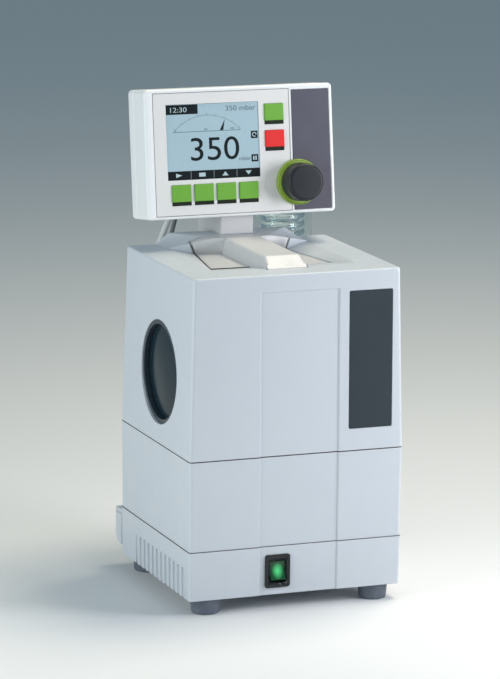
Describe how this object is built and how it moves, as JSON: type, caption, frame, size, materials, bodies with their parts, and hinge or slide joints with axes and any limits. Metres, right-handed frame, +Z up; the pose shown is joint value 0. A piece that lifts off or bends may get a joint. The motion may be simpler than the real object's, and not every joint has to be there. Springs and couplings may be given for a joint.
{
  "type": "diaphragm vacuum pump",
  "caption": "Benchtop diaphragm vacuum pump with a controller head on a mast, round side windows, carrying bar, glass condenser and receiving flask.",
  "frame": {"origin": "on the floor under the middle of the casing", "axes": "+Z up, -Y the front with the rocker switch, +X the right as seen from the front"},
  "size_m": [0.1865, 0.2349, 0.4073],
  "materials": {
    "casing": "satin moulded plastic, cool light grey with a fine spark texture",
    "cover": "satin moulded plastic, warm off-white",
    "controller_shell": "satin moulded plastic, near white",
    "inlay": "fine matt film, warm light grey",
    "side_strip": "fine matt film, dark grey",
    "label_slate": "matt slate grey panel",
    "display": "clear window over a blue-grey reflective screen",
    "key_green": "satin silicone, leaf green",
    "key_red": "satin silicone, signal red",
    "knob_dark": "soft-touch charcoal, fine grip ribs",
    "ring_lime": "satin lime green ring",
    "rubber_grey": "matt blue-grey rubber",
    "rubber_black": "matt black rubber",
    "ring_dark": "satin dark blue-grey plastic",
    "window": "smoked clear pane",
    "steel": "turned and zinc-plated steel",
    "alloy": "die-cast aluminium, lightly blasted",
    "copper": "copper windings in laminated steel",
    "fan_plastic": "black glass-filled plastic",
    "board": "green circuit board with parts",
    "bezel_black": "polished black plastic",
    "rocker_green": "clear green, lit from behind",
    "connector_black": "matt black moulded plastic",
    "fluoropolymer": "white PTFE",
    "glass": "clear laboratory glass",
    "hose": "milky translucent silicone hose",
    "cable": "matt dark grey cable sheath"
  },
  "bodies": {
    "pump": {"base_tray": "casing", "mid_ring": "casing", "upper_casing": "casing", "handle_insert": "cover", "label_plate": "label_slate", "chassis_plate": "steel", "mount_bushes": "rubber_black", "motor_housing": "alloy", "stator_core": "copper", "shaft_bearings": "steel", "crankcase": "alloy", "head_screws": "steel", "pump_tubing": "fluoropolymer", "power_board": "board", "rear_box": "casing", "mains_inlet": "connector_black", "comm_socket": "steel", "hose_barbs": "fluoropolymer", "switch_bezel": "bezel_black", "mast": "cover", "controller_front": "controller_shell", "controller_rear": "controller_shell", "inlay_panel": "inlay", "side_strip": "side_strip", "display_window": "display", "controller_board": "board", "knob_ring": "ring_lime", "condenser_jacket": "glass", "cooling_coil": "glass", "condenser_cap": "connector_black", "condenser_clip": "cover", "receiving_flask": "glass", "exhaust_sleeve": "hose", "vacuum_hose": "hose", "signal_cable": "cable", "cable_plugs": "cable", "window_rings": "ring_dark", "sight_glasses": "window", "head_cover_left": "alloy", "head_cover_right": "alloy", "diaphragm_left": "rubber_black", "diaphragm_right": "rubber_black", "foot_front_left": "rubber_grey", "foot_front_right": "rubber_grey", "foot_rear_left": "rubber_grey", "foot_rear_right": "rubber_grey"},
    "rocker": {"rocker": "rocker_green"},
    "fuse_drawer": {"fuse_drawer": "connector_black"},
    "soft_key_1": {"soft_key_1": "key_green"},
    "soft_key_2": {"soft_key_2": "key_green"},
    "soft_key_3": {"soft_key_3": "key_green"},
    "soft_key_4": {"soft_key_4": "key_green"},
    "start_key": {"start_key": "key_green"},
    "stop_key": {"stop_key": "key_red"},
    "knob": {"knob_cap": "knob_dark"},
    "crankshaft": {"rotor_shaft": "steel", "eccentric": "steel", "cooling_fan": "fan_plastic"},
    "rod_left": {"connecting_rod_left": "alloy"},
    "rod_right": {"connecting_rod_right": "alloy"}
  },
  "joints": [
    {"name": "rocker_tilt", "type": "hinge", "parent": "pump", "child": "rocker", "pos_m": [-0.0159, -0.08138, 0.0326], "axis": [1, 0, 0], "range_deg": [0, 20]},
    {"name": "fuse_drawer_slide", "type": "slide", "parent": "pump", "child": "fuse_drawer", "axis": [0, 1, 0], "range_m": [0, 0.014]},
    {"name": "soft_key_1_press", "type": "slide", "parent": "pump", "child": "soft_key_1", "axis": [0, 0.9918, -0.1276], "range_m": [0, 0.001], "stiffness_N_per_m": 400},
    {"name": "soft_key_2_press", "type": "slide", "parent": "pump", "child": "soft_key_2", "axis": [0, 0.9918, -0.1276], "range_m": [0, 0.001], "stiffness_N_per_m": 400},
    {"name": "soft_key_3_press", "type": "slide", "parent": "pump", "child": "soft_key_3", "axis": [0, 0.9918, -0.1276], "range_m": [0, 0.001], "stiffness_N_per_m": 400},
    {"name": "soft_key_4_press", "type": "slide", "parent": "pump", "child": "soft_key_4", "axis": [0, 0.9918, -0.1276], "range_m": [0, 0.001], "stiffness_N_per_m": 400},
    {"name": "start_key_press", "type": "slide", "parent": "pump", "child": "start_key", "axis": [0, 0.9918, -0.1276], "range_m": [0, 0.001], "stiffness_N_per_m": 400},
    {"name": "stop_key_press", "type": "slide", "parent": "pump", "child": "stop_key", "axis": [0, 0.9918, -0.1276], "range_m": [0, 0.001], "stiffness_N_per_m": 400},
    {"name": "knob_turn", "type": "hinge", "parent": "pump", "child": "knob", "pos_m": [0.0498, 0.04748, 0.32723], "axis": [0, -0.9918, 0.1276], "continuous": true},
    {"name": "shaft_turn", "type": "hinge", "parent": "pump", "child": "crankshaft", "pos_m": [0, -0.0054, 0.1861], "axis": [0, 0, 1], "continuous": true, "deforming": ["diaphragm_left", "diaphragm_right"]},
    {"name": "rod_left_swing", "type": "hinge", "parent": "crankshaft", "child": "rod_left", "pos_m": [0, -0.0014, 0.1861], "axis": [0, 0, 1], "continuous": true},
    {"name": "rod_right_swing", "type": "hinge", "parent": "crankshaft", "child": "rod_right", "pos_m": [0, -0.0014, 0.1861], "axis": [0, 0, 1], "continuous": true}
  ],
  "couplings": [
    {"joint": "rod_left_swing", "follows": "shaft_turn", "ratio": -1},
    {"joint": "rod_right_swing", "follows": "shaft_turn", "ratio": -1}
  ]
}
